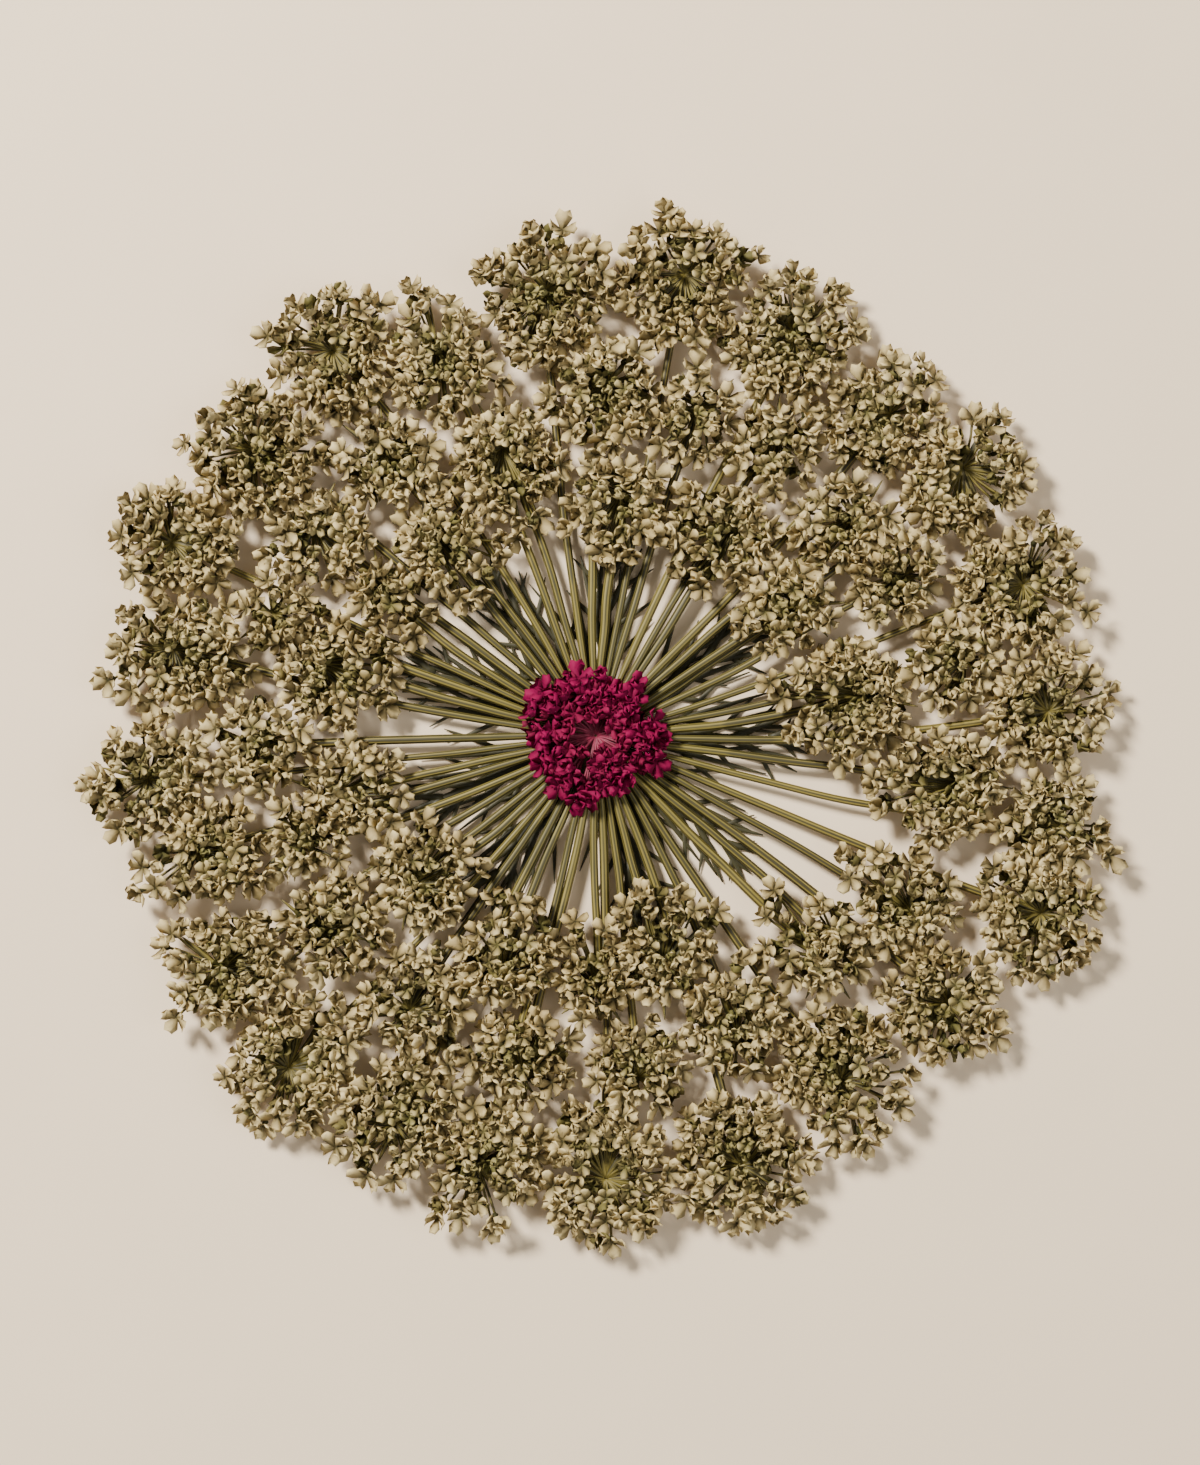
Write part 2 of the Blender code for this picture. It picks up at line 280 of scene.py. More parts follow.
def pick(kind, wanted):
    """In edit mode, selects only the faces or vertices whose place is wanted."""
    bpy.ops.mesh.select_all(action="DESELECT")
    bpy.context.tool_settings.mesh_select_mode = (kind == "VERT", False, kind == "FACE")
    shape = bmesh.from_edit_mesh(bpy.context.object.data)
    for face in shape.faces if kind == "FACE" else ():
        face.select_set(wanted(face.calc_center_median()))
    for vert in shape.verts if kind == "VERT" else ():
        vert.select_set(wanted(vert.co))
    shape.select_flush_mode()
    bmesh.update_edit_mesh(bpy.context.object.data)


def extrude(offset, scale):
    """Extrudes the selected faces along an offset and scales their new ends."""
    bpy.ops.mesh.extrude_region_move(TRANSFORM_OT_translate={"value": offset})
    bpy.ops.transform.resize(value=scale)


def paint(mesh, name, values):
    """Writes one number for each vertex, for the materials to read."""
    layer = mesh.attributes.get(name) or mesh.attributes.new(name, "FLOAT", "POINT")
    layer.data.foreach_set("value", values)


def copy_of(master, matrix, **tints):
    """A copy of a modelled shape with a mesh of its own, placed and tinted in its mesh."""
    made = master.copy()
    made.data = master.data.copy()
    made.data.transform(matrix)
    for name, value in tints.items():
        paint(made.data, name, [value] * len(made.data.vertices))
    bpy.context.collection.objects.link(made)
    return made


def join(name, objects):
    """Makes one object of several."""
    deselect_all()
    for part in objects:
        part.select_set(True)
    bpy.context.view_layer.objects.active = objects[0]
    bpy.ops.object.join()
    joined = bpy.context.object
    joined.name = joined.data.name = name
    return joined


def discard(*objects):
    """Removes the shapes that only served as masters or sections."""
    for part in objects:
        bpy.data.objects.remove(part)


def finish_piece(piece, material, slot, *nodes):
    """Gives a piece its material and its place in the frame."""
    deselect_all()
    piece.select_set(True)
    bpy.context.view_layer.objects.active = piece
    bpy.ops.object.shade_smooth()
    piece.data.materials.clear()
    piece.data.materials.append(material)
    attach(piece, "root")
    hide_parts(*nodes)


def weld():
    """Merges the loose caps of the active mesh and turns its faces outwards."""
    bpy.ops.object.mode_set(mode="EDIT")
    bpy.ops.mesh.select_all(action="SELECT")
    bpy.ops.mesh.remove_doubles(threshold=SAME_PLACE)
    bpy.ops.mesh.normals_make_consistent(inside=False)
    bpy.ops.object.mode_set(mode="OBJECT")


def press(piece):
    """Flattens the upper part of a piece, as a flower press does, to no more than the pressed top."""
    knee = PRESSED_TOP - PRESSED_DEPTH
    highest = max(vert.co.z for vert in piece.data.vertices)
    squeeze = min(PRESSED_DEPTH / (highest - knee), 1)
    for vert in piece.data.vertices:
        if vert.co.z > knee:
            vert.co.z = knee + (vert.co.z - knee) * squeeze


def section(name, points, depth, flatness):
    """The outline that a strand is drawn with, one unit in radius, with every other point let in."""
    outline = bpy.data.curves.new(name, "CURVE")
    outline.dimensions = "2D"
    spline = outline.splines.new("POLY")
    spline.points.add(points - 1)
    spline.use_cyclic_u = True
    for k, point in enumerate(spline.points):
        spot = flat_way(math.tau * k / points) * (1 - depth * (k % 2))
        point.co = (spot.x, spot.y * flatness, 0, 1)
    made = bpy.data.objects.new(name, outline)
    bpy.context.collection.objects.link(made)
    return made


def draw_strands(name, outline, strands, steps, draw):
    """Tapered strands through (place, radius) points, as one mesh with a shade for each strand."""
    curve = bpy.data.curves.new(name, "CURVE")
    curve.dimensions = "3D"
    curve.twist_mode = "Z_UP"
    curve.resolution_u = steps
    curve.bevel_mode = "OBJECT"
    curve.bevel_object = outline
    curve.use_fill_caps = True
    for strand in strands:
        spline = curve.splines.new("NURBS")
        spline.points.add(len(strand) - 1)
        spline.use_endpoint_u = True
        spline.order_u = min(4, len(strand))
        for point, (place, radius) in zip(spline.points, strand):
            point.co = (*place, 1)
            point.radius = radius
    made = bpy.data.objects.new(name, curve)
    bpy.context.collection.objects.link(made)
    deselect_all()
    made.select_set(True)
    bpy.context.view_layer.objects.active = made
    bpy.ops.object.convert(target="MESH")
    made = bpy.context.object
    each = len(made.data.vertices) // len(strands)
    shades = [draw.random() for _ in strands]
    paint(made.data, "shade", [value for value in shades for _ in range(each)])
    weld()
    return made


def node_points(name):
    """The corners of a node of the frame."""
    return [vert.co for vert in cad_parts[name].data.vertices]


class Outline:
    """The ground that a node covers, seen from above: its middle, its area and its reach any way."""

    def __init__(self, name):
        points = node_points(name)
        low = min(point.z for point in points)
        foot = [flat(point) for point in points if point.z < low + SAME_PLACE]
        self.middle = sum(foot, Vector()) / len(foot)
        hull = [points[k] for k in convex_hull_2d([point.xy for point in points])]
        self.walls = []
        self.area = 0
        for one, two in zip(hull, hull[1:] + hull[:1]):
            out = flat(two - one).cross(UP).normalized()
            reach = out.dot(flat(one) - self.middle)
            if reach < 0:
                out, reach = -out, -reach
            self.walls.append((out, reach))
            self.area += flat(two - one).length * reach / 2

    def reach(self, way):
        """How far the ground goes from its middle, one way."""
        return min(reach / out.dot(way) for out, reach in self.walls if out.dot(way) > 1e-6)


def end_faces(low, high):
    """The middle of each outward end of the frame's rays or bracts, between two heights."""
    found = []
    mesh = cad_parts["hub_rays"].data
    for face in mesh.polygons:
        out = flat(face.center)
        if low < face.center.z < high and face.normal.dot(out.normalized()) > 0.9:
            if not any((flat(other) - out).length < END_DISTANCE for other in found):
                found.append(face.center.copy())
    return found


def model_petal(name, florets, lift, fold):
    """A petal along +X: a wedge from its claw to its widest place, then its tip, rolled up."""
    wide = florets.petal_length * 0.62
    deselect_all()
    bpy.ops.mesh.primitive_cylinder_add(
        vertices=4,
        radius=florets.claw_width / 2,
        depth=wide,
        location=(wide / 2, 0, 0),
        rotation=(0, math.pi / 2, 0),
    )
    petal = bpy.context.object
    petal.name = name
    bpy.ops.object.transform_apply(location=True, rotation=True, scale=True)
    bpy.ops.object.mode_set(mode="EDIT")
    pick("FACE", lambda place: place.x > wide * 0.99)
    spread = florets.petal_width / florets.claw_width
    thin = florets.petal_thickness / florets.claw_width
    bpy.ops.transform.resize(value=(1, spread, thin))
    tip = florets.petal_length - wide
    extrude((tip * (1 - fold), 0, lift), (1, 0.62, 0.9))
    pick("VERT", lambda place: place.x > wide * 0.5 and abs(place.y) < SAME_PLACE)
    bpy.ops.transform.translate(value=(0, 0, -florets.cup))
    pick("VERT", lambda place: place.z > lift * 0.4 and abs(place.y) < SAME_PLACE)
    bpy.ops.transform.translate(value=(-florets.notch, 0, 0))
    bpy.ops.object.mode_set(mode="OBJECT")
    paint(petal.data, "tip", [0.3 + 0.7 * min(v.co.x / (wide + tip), 1) for v in petal.data.vertices])
    return petal


def model_ovary(florets):
    """A ribbed green ovary below the petals, with a low cushion on top of it."""
    length = florets.ovary_length
    width = florets.ovary_width
    deselect_all()
    bpy.ops.mesh.primitive_cylinder_add(
        vertices=5,
        radius=width / 2,
        depth=length * 0.5,
        location=(0, 0, -length * 0.45),
    )
    ovary = bpy.context.object
    bpy.ops.object.transform_apply(location=True, rotation=True, scale=True)
    bpy.ops.object.mode_set(mode="EDIT")
    pick("FACE", lambda place: place.z < -length * 0.6)
    extrude((0, 0, -length * 0.3), (0.35, 0.35, 1))
    pick("FACE", lambda place: place.z > -length * 0.3)
    bpy.ops.transform.resize(value=(0.72, 0.72, 1))
    extrude((0, 0, length * 0.32), (0.55, 0.55, 1))
    bpy.ops.object.mode_set(mode="OBJECT")
    paint(ovary.data, "tip", [0.0] * len(ovary.data.vertices))
    return ovary


def model_floret(name, petals, ovary, lean, growth, draw):
    """Five petals round an ovary. Growth makes the ones towards +X larger than the others."""
    parts = [copy_of(ovary, Matrix())]
    for k in range(5):
        way = math.tau * k / 5 + draw.uniform(-0.16, 0.16)
        long = draw.uniform(0.86, 1.08) * (1 + growth * math.cos(way))
        pose = (
            Matrix.Rotation(way, 4, "Z")
            @ Matrix.Rotation(-lean * draw.uniform(0.7, 1.3), 4, "Y")
            @ Matrix.Rotation(draw.uniform(-0.35, 0.35), 4, "X")
            @ Matrix.Diagonal((long, long * draw.uniform(0.85, 1.1), 1, 1))
        )
        parts.append(copy_of(draw.choice(petals), pose))
    return join(name, parts)


def model_florets(florets, draw):
    """The forms a dried floret takes: open ones, half-closed ones and rim ones with long petals."""
    lift = florets.petal_length
    petals = [
        model_petal("petal_flat", florets, lift * 0.14, 0.1),
        model_petal("petal_raised", florets, lift * 0.28, 0.35),
        model_petal("petal_rolled", florets, lift * 0.3, 0.9),
    ]
    ovary = model_ovary(florets)
    forms = {"open": (0.16, 0), "half": (0.62, 0), "closed": (1.1, 0), "rim": (0.22, 0.26)}
    masters = {}
    for form, (lean, growth) in forms.items():
        masters[form] = [
            model_floret(f"{form}_{k}", petals, ovary, lean, growth, draw)
            for k in range(FORMS_OF_A_KIND)
        ]
    discard(ovary, *petals)
    return masters


def umbellet_plan(outline, room, bare, heights, florets, draw):
    """Where each floret of an umbellet sits: its place, lean, way out, size, form and shade."""
    plan = []
    low, high = heights
    top_count = round(outline.area / room**2 / CLOSE_PACKING)
    outer = outline.middle.normalized()
    tone = draw.uniform(-0.12, 0.12)
    for count, under in ((top_count, False), (round(top_count * florets.under_share), True)):
        first = draw.uniform(0, math.tau)
        for k in range(count):
            part = math.sqrt(bare**2 + (1 - bare**2) * (k + 0.5) / count)
            out = flat_way(first + k * GOLDEN_TURN + draw.uniform(-0.18, 0.18))
            edge = outline.reach(out) - florets.petal_length * 0.3
            place = outline.middle + out * edge * part * draw.uniform(0.88, 1.04)
            height = high - (high - low) * part**2.4 + draw.uniform(-0.16, 0.16) * MM
            lean = florets.rim_tilt * part**1.6 + draw.uniform(-0.3, 0.3)
            grown = florets.middle_scale + (florets.rim_scale - florets.middle_scale) * min(part * 1.3, 1)
            facing = max(out.dot(outer), 0) * part
            shade = max(0.3, min(0.3 + draw.random() * 0.6 + 0.3 * facing + tone, 1))
            if under:
                form = draw.choice(("closed", "half"))
                height -= florets.under_depth
                place = outline.middle.lerp(place, 0.85)
                # Painted shade: the florets under the others get the darkest tints, which stand in for the
                # shade between the florets on top.
                shade = draw.uniform(0, 0.2)
            elif part > RIM_PART:
                form = draw.choice(("rim", "rim", "open", "half"))
            elif part < MIDDLE_PART:
                form = draw.choice(("closed", "half", "half"))
            else:
                form = draw.choice(("open", "open", "half", "half", "closed"))
            plan.append(
                {
                    "place": place + UP * height,
                    "lean": lean,
                    "out": out,
                    "scale": grown * (1 + 0.12 * facing) * draw.uniform(0.9, 1.1),
                    "form": form,
                    "aligned": form == "rim",
                    "shade": shade,
                    "green": max(1.2 - part * 1.8, 0.6 if under else 0) * draw.uniform(0.6, 1),
                }
            )
    return plan


def floret_pose(spot, scale, draw):
    """The matrix that stands a floret in its place, leaning outwards, and the way its axis points."""
    spin = draw.uniform(-0.3, 0.3) if spot["aligned"] else draw.uniform(0, math.tau)
    side = UP.cross(spot["out"])
    lean = Matrix.Rotation(spot["lean"], 4, side)
    turned = lean @ Matrix.Rotation(heading(spot["out"]) + spin, 4, "Z")
    pose = Matrix.Translation(spot["place"]) @ turned @ Matrix.Scale(spot["scale"] * scale, 4)
    return pose, turned @ UP


def grow_umbellet(name, root, plan, scale, masters, florets, draw):
    """The florets of one umbellet by its plan, and the lines of the stalks that carry them."""
    copies = []
    lines = []
    for spot in plan:
        pose, axis = floret_pose(spot, scale, draw)
        master = draw.choice(masters[spot["form"]])
        copies.append(copy_of(master, pose, shade=spot["shade"], green=spot["green"]))
        end = spot["place"] - axis * florets.ovary_length * 0.8 * spot["scale"] * scale
        way = flat(end - root).normalized()
        start = root + way * 0.12 * MM
        bow = start.lerp(end, 0.55)
        bow.z = min(start.z, end.z) + 0.12 * MM
        bow += UP.cross(way) * draw.uniform(-0.3, 0.3) * MM
        lines.append((start, bow, end))
    return join(name, copies), lines


def pedicel_strands(lines, width):
    """The strands of florets' stalks, thickest at their roots."""
    half = width / 2
    return [[(root, half * 1.1), (bow, half * 0.85), (end, half)] for root, bow, end in lines]


def bracteole_strands(outline, root, stalks, draw):
    """The strands of the narrow blades that spread under an umbellet."""
    strands = []
    half = stalks.bracteole_width / 2
    for k in range(BRACTEOLES):
        out = flat_way(math.tau * k / BRACTEOLES + draw.uniform(-0.3, 0.3))
        reach = min(stalks.bracteole_length * draw.uniform(0.75, 1.1), outline.reach(out) * 0.97)
        tip = root + out * reach + UP * draw.uniform(0.1, 0.5) * MM
        strands.append(
            [
                (root + UP * 0.05 * MM, half * 0.7),
                (root.lerp(tip, 0.4) + UP * 0.1 * MM, half),
                (root.lerp(tip, 0.75), half * 0.7),
                (tip, half * 0.12),
            ]
        )
    return strands


def ray_strand(start, step, root, stalks, draw):
    """A ray from its heading at the hub to the root of its umbellet, slightly bowed."""
    end = start + (heading(root) - start + math.pi) % math.tau - math.pi
    reach = flat(root).length
    side = flat_way(start + math.pi / 2)
    level = draw.uniform(*RAY_LEVELS)
    bow = draw.uniform(-0.45, 0.45) * MM
    full_share = draw.uniform(0.8, 1.12)
    strand = []
    for number in range(RAY_SPANS + 1):
        along = number / RAY_SPANS
        away = RAY_START + (reach - RAY_START) * along
        bent = max((away - RAY_BEND) / (reach - RAY_BEND), 0)
        wander = draw.uniform(-0.12, 0.12) * MM * (0 < number < RAY_SPANS)
        place = flat_way(start + (end - start) * bent) * away
        place += side * (bow * math.sin(math.pi * along**1.5) + wander)
        place.z = level + draw.uniform(-0.04, 0.04) * MM
        if number == 0:
            place.z = RAY_FOOT_HEIGHT
        if number == RAY_SPANS:
            place.z = RAY_TIP_HEIGHT
        full = full_share * (stalks.ray_width + (stalks.ray_tip_width - stalks.ray_width) * along)
        strand.append((place, min(full / 2, away * step / 2 * 0.99)))
    return strand


def lobe_strand(start, base, lean, way, long, half):
    """A lobe that leaves its stalk at an angle and curls back towards the stalk's own way."""
    out = flat_way(lean) * long
    curl = flat_way(way) * long * 0.12
    return [
        (start, half * 0.9),
        (base + out * 0.3, half * 0.85),
        (base + out * 0.6 + curl * 0.5, half * 0.65),
        (base + out * 0.85 + curl, half * 0.4),
        (base + out + curl * 1.4, half * 0.15),
    ]


def bract_strands(tip, bracts, draw):
    """A pinnate bract: its stalk, its pairs of side lobes and the two twigs on each lobe."""
    way = heading(tip)
    half = bracts.width / 2
    lobe = bracts.lobe_width / 2
    low = half * bracts.flatness + 0.02 * MM
    if tip.z > BRACT_RAISED_TIP:
        low += 0.1 * MM
    foot = flat_way(way) * BRACT_FOOT + UP * (low + 0.1 * MM)
    end = flat(tip) + UP * low * 0.8
    fork = foot.lerp(end, bracts.fork)
    fork.z = low
    sway = UP.cross(flat_way(way)) * draw.uniform(-0.25, 0.25) * MM
    strands = [
        [
            (foot, half * 1.1),
            (foot.lerp(fork, 0.5) + sway, half * 0.8),
            (fork, half * 0.95),
            (fork.lerp(end, 0.4) - sway, lobe),
            (end, lobe * 0.2),
        ]
    ]
    # The side lobes and their twigs lay dark strands between the rays: real bract parts that also serve as
    # painted shade.
    for side in (-1, 1):
        for place_share, length_share, angle_share in BRACT_LOBES:
            base = flat(foot).lerp(flat(end), place_share) + UP * low
            lean = way + side * bracts.lobe_angle * angle_share * draw.uniform(0.8, 1.2)
            long = bracts.lobe_length * length_share * draw.uniform(0.9, 1.08)
            start = base - flat_way(way) * 0.5 * MM
            strands.append(lobe_strand(start, base, lean, way, long, lobe))
            for twig_side in (-1, 1):
                twig = base + flat_way(lean) * long * draw.uniform(0.3, 0.5)
                spread = lean + twig_side * bracts.lobe_angle * draw.uniform(0.7, 1.1)
                short = long * TWIG_SHARE * draw.uniform(0.8, 1.2)
                strands.append(lobe_strand(twig, twig, spread, lean, short, lobe * 0.7))
    return strands


def noise_node(tree, vector, scale, detail, rough=0.55):
    """Soft blotches, as a number."""
    noise = tree.nodes.new("ShaderNodeTexNoise")
    noise.inputs["Scale"].default_value = scale
    noise.inputs["Detail"].default_value = detail
    noise.inputs["Roughness"].default_value = rough
    tree.links.new(vector, noise.inputs["Vector"])
    return noise.outputs["Fac"]


def ramp_node(tree, value, stops):
    """A colour looked up by a number, among stops."""
    ramp = tree.nodes.new("ShaderNodeValToRGB")
    elements = ramp.color_ramp.elements
    while len(elements) < len(stops):
        elements.new(1)
    for element, (position, colour_there) in zip(elements, stops):
        element.position = position
        element.color = (*colour_there, 1)
    tree.links.new(value, ramp.inputs["Fac"])
    return ramp.outputs["Color"]


def maths_node(tree, operation, one, two):
    """A number worked out from two others."""
    node = tree.nodes.new("ShaderNodeMath")
    node.operation = operation
    for socket, value in zip(node.inputs, (one, two)):
        if isinstance(value, (int, float)):
            socket.default_value = value
        else:
            tree.links.new(value, socket)
    return node.outputs["Value"]


def blend_node(tree, factor, one, two, kind="MIX"):
    """A colour blended from two others."""
    node = tree.nodes.new("ShaderNodeMix")
    node.data_type = "RGBA"
    node.blend_type = kind
    for socket, value in ((node.inputs[0], factor), (node.inputs[6], one), (node.inputs[7], two)):
        if isinstance(value, (int, float)):
            socket.default_value = value
        elif isinstance(value, tuple):
            socket.default_value = (*value, 1)
        else:
            tree.links.new(value, socket)
    return node.outputs[2]


def attribute_node(tree, name):
    """A number that was painted on the mesh."""
    node = tree.nodes.new("ShaderNodeAttribute")
    node.attribute_name = name
    return node.outputs["Fac"]


def start_material(name):
    """A new material with its node tree, its shader and the node that gives places on the piece."""
    material = bpy.data.materials.new(name)
    material.use_nodes = True
    tree = material.node_tree
    shader = tree.nodes["Principled BSDF"]
    place = tree.nodes.new("ShaderNodeTexCoord")
    return material, tree, shader, place


def add_bump(tree, shader, height, strength, distance):
    """Fine relief that only the shading shows."""
    bump = tree.nodes.new("ShaderNodeBump")
    bump.inputs["Strength"].default_value = strength
    bump.inputs["Distance"].default_value = distance
    tree.links.new(height, bump.inputs["Height"])
    tree.links.new(bump.outputs["Normal"], shader.inputs["Normal"])


def floret_material(name, ovary, claw, petal, tip, green, age_and_under_shade, gloss):
    """Dried petals, paler to the tip, each floret faded or browned by its age; the dark claws are partly
    the petal's own brown and partly painted shade between the petals, and the florets under the others are
    darkened as painted shade.
    """
    material, tree, shader, place = start_material(name)
    at = place.outputs["Object"]
    blotch = noise_node(tree, at, 900, 2)
    uneven = maths_node(tree, "SUBTRACT", maths_node(tree, "MULTIPLY", blotch, 0.3), 0.15)
    along = maths_node(tree, "ADD", attribute_node(tree, "tip"), uneven)
    # Dark at the claw: partly the petal's own brown, partly painted shade between the petals.
    stops = [(0.0, ovary), (0.22, ovary), (0.34, claw), (0.68, petal), (0.94, tip)]
    base = ramp_node(tree, along, stops)
    shade = attribute_node(tree, "shade")
    # The low shade values of the florets under the others darken them here: painted shade.
    faded_and_shaded = blend_node(tree, age_and_under_shade, base, ramp_node(tree, shade, AGE_AND_UNDER_SHADE_TINTS), "MULTIPLY")
    patches = maths_node(tree, "ADD", blotch, 0.3)
    young = maths_node(tree, "MULTIPLY", attribute_node(tree, "green"), patches)
    tree.links.new(blend_node(tree, young, faded_and_shaded, green), shader.inputs["Base Color"])
    shader.inputs["Specular IOR Level"].default_value = gloss
    rough = maths_node(tree, "ADD", maths_node(tree, "MULTIPLY", blotch, 0.25), 0.58)
    tree.links.new(rough, shader.inputs["Roughness"])
    add_bump(tree, shader, noise_node(tree, at, 5200, 1), 0.5, 0.05 * MM)
    return material


def stalk_material(name, groove, ridge, green, green_reach, ribs):
    """Dried stalks: straw and olive streaks along each strand, greener near the hub; each rib's grooves are
    darkened with painted shade and its ridges lit with a painted highlight.
    """
    material, tree, shader, place = start_material(name)
    at = place.outputs["Object"]
    stretch = tree.nodes.new("ShaderNodeMapping")
    stretch.inputs["Scale"].default_value = (3, 26, 1)
    tree.links.new(place.outputs["UV"], stretch.inputs["Vector"])
    streak = noise_node(tree, stretch.outputs["Vector"], 1, 2, 0.6)
    blotch = noise_node(tree, at, 420, 2)
    across = tree.nodes.new("ShaderNodeSeparateXYZ")
    tree.links.new(place.outputs["UV"], across.inputs["Vector"])
    # A cosine round each strand, one turn for each rib: painted shade in the grooves and painted light on
    # the ridges. With one rib, one side of each stalk is painted lighter and the other darker.
    round_turn = maths_node(tree, "MULTIPLY", across.outputs["Y"], math.tau * ribs)
    painted_rib_shade = maths_node(tree, "COSINE", round_turn, 0)
    mixed = maths_node(tree, "MULTIPLY", streak, 0.75)
    for value, weight in ((blotch, 0.25), (attribute_node(tree, "shade"), 0.34), (painted_rib_shade, 0.3)):
        mixed = maths_node(tree, "ADD", mixed, maths_node(tree, "MULTIPLY", value, weight))
    # The brightest stop is a painted highlight on the ridges.
    painted_ridge_highlight = tuple(1.45 * c for c in ridge)
    base = ramp_node(tree, mixed, [(0.48, groove), (0.76, ridge), (1.0, painted_ridge_highlight)])
    length = tree.nodes.new("ShaderNodeVectorMath")
    length.operation = "LENGTH"
    tree.links.new(at, length.inputs[0])
    near = tree.nodes.new("ShaderNodeMapRange")
    limits = ("From Min", "From Max", "To Min", "To Max")
    for limit, value in zip(limits, (*green_reach, 0.4, 0.08)):
        near.inputs[limit].default_value = value
    tree.links.new(length.outputs["Value"], near.inputs["Value"])
    tree.links.new(blend_node(tree, near.outputs["Result"], base, green), shader.inputs["Base Color"])
    rough = maths_node(tree, "ADD", maths_node(tree, "MULTIPLY", streak, 0.3), 0.42)
    tree.links.new(rough, shader.inputs["Roughness"])
    add_bump(tree, shader, streak, 0.4, 0.06 * MM)
    return material


def plain_material(name, base_colour, variation, scale, roughness):
    """One colour, a little lighter and darker in blotches."""
    material, tree, shader, place = start_material(name)
    blotch = noise_node(tree, place.outputs["Object"], scale, 4)
    dark = tuple(c * (1 - variation) for c in base_colour)
    light = tuple(min(c * (1 + variation), 1) for c in base_colour)
    tree.links.new(ramp_node(tree, blotch, [(0.3, dark), (0.7, light)]), shader.inputs["Base Color"])
    shader.inputs["Roughness"].default_value = roughness
    add_bump(tree, shader, blotch, 0.25, 0.05 * MM)
    return material


def ray_roots():
    """The end of each ray in the frame, for the umbellet that it carries."""
    ends = end_faces(*RAY_END_HEIGHTS)
    roots = {}
    for name in UMBELLET_NODES:
        middle = Outline(name).middle
        end = min(ends, key=lambda place: (flat(place) - middle).length)
        roots[name] = flat(end) + UP * UMBELLET_ROOT_HEIGHT
    return roots


ROOTS = ray_roots()


class LACE_OT_umbellets(bpy.types.Operator):
    """Model the florets and stalks of every cream umbellet"""

    bl_idname = "lace.umbellets"
    bl_label = "Umbellets"

    def execute(self, context):
        settings = context.scene.pressed_lace
        florets = settings.florets
        stalks = settings.stalks
        draw = random.Random(UMBELLETS_SEED)
        masters = model_florets(florets, draw)
        petal_finish = floret_material(
            "dried_floret",
            florets.ovary_colour[:],
            florets.claw_colour[:],
            florets.petal_colour[:],
            florets.tip_colour[:],
            florets.green_colour[:],
            age_and_under_shade=1.0,
            gloss=0.3,
        )
        stalk_finish = stalk_material(
            "dried_pedicel",
            stalks.olive_colour[:],
            stalks.straw_colour[:],
            stalks.green_colour[:],
            green_reach=(10 * MM, 50 * MM),
            ribs=1,
        )
        round_section = section("pedicel_section", 5, 0, 1)
        blade_section = section("bracteole_section", 6, 0, 0.34)
        for name in UMBELLET_NODES:
            outline = Outline(name)
            root = ROOTS[name]
            bare = draw.random() ** 2 * florets.bare_middle
            plan = umbellet_plan(outline, florets.room, bare, CREAM_HEIGHTS, florets, draw)
            piece, lines = grow_umbellet(f"{name}_florets", root, plan, 1, masters, florets, draw)
            press(piece)
            finish_piece(piece, petal_finish, "cream_floret", name)
            strands = pedicel_strands(lines, stalks.pedicel_width)
            pedicels = draw_strands(f"{name}_pedicels", round_section, strands, 2, draw)
            strands = bracteole_strands(outline, root, stalks, draw)
            bracteoles = draw_strands(f"{name}_bracteoles", blade_section, strands, 3, draw)
            stalk_piece = join(f"{name}_stalks", [pedicels, bracteoles])
            finish_piece(stalk_piece, stalk_finish, "olive_stalk", name)
        discard(round_section, blade_section, *[form for group in masters.values() for form in group])
        return {"FINISHED"}


class LACE_OT_rays(bpy.types.Operator):
    """Model the ribbed rays that carry the umbellets"""

    bl_idname = "lace.rays"
    bl_label = "Rays"

    def execute(self, context):
        stalks = context.scene.pressed_lace.stalks
        draw = random.Random(RAYS_SEED)
        outline = section("ray_section", 2 * stalks.ray_ribs, stalks.rib_depth, stalks.ray_flatness)
        step = math.tau / len(UMBELLET_NODES)
        aims = [heading(Outline(name).middle) for name in UMBELLET_NODES]
        first = sum(aim - k * step for k, aim in enumerate(aims)) / len(aims)
        rays = []
        for k, name in enumerate(UMBELLET_NODES):
            rays.append(ray_strand(first + k * step, step, ROOTS[name], stalks, draw))
        piece = draw_strands("rays", outline, rays, 4, draw)
        finish = stalk_material(
            "dried_ray",
            stalks.olive_colour[:],
            stalks.straw_colour[:],
            stalks.green_colour[:],
            green_reach=(6 * MM, 20 * MM),
            ribs=stalks.ray_ribs,
        )
        finish_piece(piece, finish, "olive_stalk", "hub_rays")
        discard(outline)
        return {"FINISHED"}


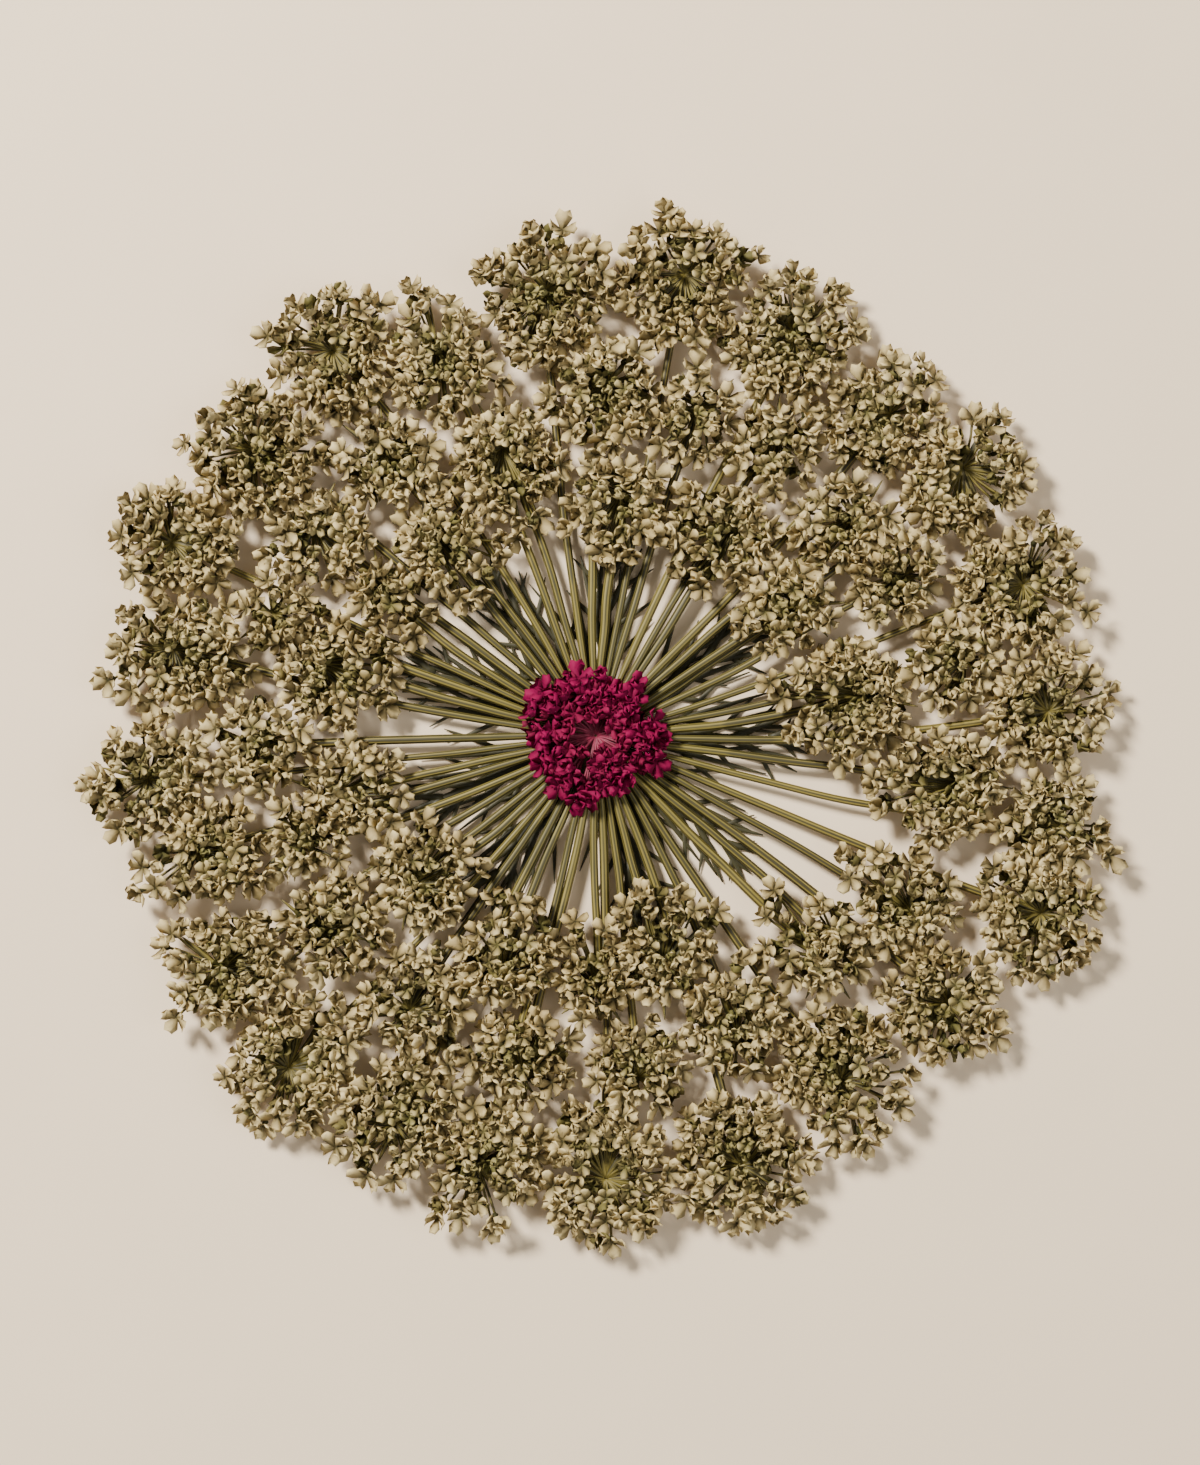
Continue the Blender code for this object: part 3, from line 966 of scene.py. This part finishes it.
class LACE_OT_hub(bpy.types.Operator):
    """Model the hub where the rays meet and the cut stem under it"""

    bl_idname = "lace.hub"
    bl_label = "Hub and cut stem"

    def execute(self, context):
        stalks = context.scene.pressed_lace.stalks
        top = HUB_MIDDLE + HUB_THICKNESS / 2
        foot = HUB_MIDDLE - HUB_THICKNESS / 2
        deselect_all()
        bpy.ops.mesh.primitive_cylinder_add(
            vertices=2 * STEM_RIBS,
            radius=HUB_RADIUS,
            depth=HUB_THICKNESS,
            location=(0, 0, HUB_MIDDLE),
        )
        hub = bpy.context.object
        bpy.ops.object.transform_apply(location=True, rotation=True, scale=True)
        bpy.ops.object.mode_set(mode="EDIT")
        pick("FACE", lambda place: place.z > top - SAME_PLACE)
        for rise, kept in HUB_STEPS:
            extrude((0, 0, rise), (kept, kept, 1))
        pick("FACE", lambda place: place.z < foot + SAME_PLACE)
        for rise, kept in STEM_STEPS:
            extrude((0, 0, rise), (kept, kept, 1))
        bpy.ops.mesh.inset(thickness=STEM_WALL)
        extrude((0, 0, STEM_HOLLOW), (0.9, 0.9, 1))
        bpy.ops.object.mode_set(mode="OBJECT")
        for vert in hub.data.vertices:
            vert.co.xy *= 1 + STEM_RIB_DEPTH * math.cos(STEM_RIBS * heading(vert.co))
        hub.name = hub.data.name = "hub"
        finish = plain_material("dried_hub", stalks.green_colour[:], 0.35, 900, 0.6)
        finish_piece(hub, finish, "olive_stalk", "hub_rays")
        return {"FINISHED"}


class LACE_OT_bracts(bpy.types.Operator):
    """Model the forked bracts under the rays"""

    bl_idname = "lace.bracts"
    bl_label = "Bracts"

    def execute(self, context):
        bracts = context.scene.pressed_lace.bracts
        draw = random.Random(BRACTS_SEED)
        outline = section("bract_section", 8, 0, bracts.flatness)
        ends = end_faces(*BRACT_END_HEIGHTS)
        tips = [tip for tip in ends if flat(tip).length > BRACT_LEAST_REACH]
        strands = []
        for tip in sorted(tips, key=heading):
            strands += bract_strands(tip, bracts, draw)
        piece = draw_strands("bracts", outline, strands, 3, draw)
        dark = bracts.bract_colour[:]
        # The bract strands get two ribs of painted groove shade and painted ridge light.
        light = tuple(1.7 * c for c in dark)
        finish = stalk_material("dried_bract", dark, light, dark, green_reach=(0, 20 * MM), ribs=2)
        finish_piece(piece, finish, "olive_stalk", "hub_rays")
        discard(outline)
        return {"FINISHED"}


class LACE_OT_crimson(bpy.types.Operator):
    """Model the dyed crimson umbellet over the hub"""

    bl_idname = "lace.crimson"
    bl_label = "Crimson umbellet"

    def execute(self, context):
        settings = context.scene.pressed_lace
        florets = settings.florets
        crimson = settings.crimson
        draw = random.Random(CRIMSON_SEED)
        masters = model_florets(florets, draw)
        outline = Outline("crimson_umbellet")
        bare = crimson.bare_middle
        plan = umbellet_plan(outline, crimson.room, bare, CRIMSON_HEIGHTS, florets, draw)
        root = UP * CRIMSON_ROOT_HEIGHT
        name = "crimson_umbellet_florets"
        piece, lines = grow_umbellet(name, root, plan, crimson.scale, masters, florets, draw)
        finish = floret_material(
            "dyed_floret",
            crimson.claw_colour[:],
            crimson.claw_colour[:],
            crimson.petal_colour[:],
            crimson.tip_colour[:],
            crimson.heart_colour[:],
            age_and_under_shade=0.6,
            gloss=0.15,
        )
        press(piece)
        finish_piece(piece, finish, "crimson_floret", "crimson_umbellet")
        round_section = section("dyed_section", 5, 0, 1)
        strands = pedicel_strands(lines, settings.stalks.pedicel_width)
        pedicels = draw_strands("crimson_umbellet_stalks", round_section, strands, 2, draw)
        finish = plain_material("dyed_stalk", crimson.stalk_colour[:], 0.4, 1500, 0.6)
        finish_piece(pedicels, finish, "crimson_floret", "crimson_umbellet")
        discard(round_section, *[form for group in masters.values() for form in group])
        return {"FINISHED"}


class LACE_OT_stage(bpy.types.Operator):
    """Set the pale floor, the soft light and the camera straight above the head"""

    bl_idname = "lace.stage"
    bl_label = "Stage"

    def execute(self, context):
        stage = context.scene.pressed_lace.stage
        low, high = CAD_BOX
        middle = (low + high) / 2
        deselect_all()
        bpy.ops.mesh.primitive_plane_add(size=3, location=(0, 0, 0))
        floor = bpy.context.object
        floor.name = "floor"
        floor.data.materials.append(plain_material("pale_card", stage.floor_colour[:], 0.015, 60, 0.85))
        self.add_light("key", middle, *KEY_LIGHT)
        self.add_light("fill", middle, *FILL_LIGHT)
        world = bpy.data.worlds.new("soft_room")
        context.scene.world = world
        world.use_nodes = True
        background = world.node_tree.nodes["Background"]
        background.inputs["Color"].default_value = ROOM_TINT
        background.inputs["Strength"].default_value = ROOM_LIGHT
        camera = bpy.data.cameras.new("above")
        camera.lens = stage.lens
        camera.clip_start = 0.01
        tall = stage.view_width * PICTURE_HEIGHT_OVER_WIDTH
        away = tall * camera.lens / camera.sensor_width
        made = bpy.data.objects.new("above", camera)
        made.location = (middle.x, middle.y, high.z + away)
        context.scene.collection.objects.link(made)
        context.scene.camera = made
        return {"FINISHED"}

    def add_light(self, name, target, place, width, power, tint):
        """A round area light that points at the head."""
        light = bpy.data.lights.new(name, "AREA")
        light.shape = "DISK"
        light.size = width
        light.energy = power
        light.color = tint
        made = bpy.data.objects.new(name, light)
        made.location = place
        made.rotation_euler = (target - made.location).to_track_quat("-Z", "Y").to_euler()
        bpy.context.scene.collection.objects.link(made)


class LACE_PT_panel(bpy.types.Panel):
    """The steps that model the head, in order"""

    bl_idname = "LACE_PT_panel"
    bl_label = "Pressed Lace"
    bl_space_type = "VIEW_3D"
    bl_region_type = "UI"
    bl_category = "Pressed Lace"

    def draw(self, context):
        settings = context.scene.pressed_lace
        for step in STEPS:
            self.layout.operator(step.bl_idname)
        for group in (settings.florets, settings.stalks, settings.bracts, settings.crimson, settings.stage):
            box = self.layout.box()
            for name in group.__annotations__:
                box.prop(group, name)


GROUPS = (FloretSettings, StalkSettings, BractSettings, CrimsonSettings, StageSettings, LaceSettings)
STEPS = (
    LACE_OT_umbellets,
    LACE_OT_crimson,
    LACE_OT_rays,
    LACE_OT_hub,
    LACE_OT_bracts,
    LACE_OT_stage,
)


def register():
    for group in (*GROUPS, *STEPS, LACE_PT_panel):
        bpy.utils.register_class(group)
    bpy.types.Scene.pressed_lace = PointerProperty(type=LaceSettings)


def unregister():
    del bpy.types.Scene.pressed_lace
    for group in reversed((*GROUPS, *STEPS, LACE_PT_panel)):
        bpy.utils.unregister_class(group)


def main():
    register()
    bpy.ops.lace.umbellets()
    bpy.ops.lace.crimson()
    bpy.ops.lace.rays()
    bpy.ops.lace.hub()
    bpy.ops.lace.bracts()
    bpy.ops.lace.stage()


if __name__ == "__main__":
    main()
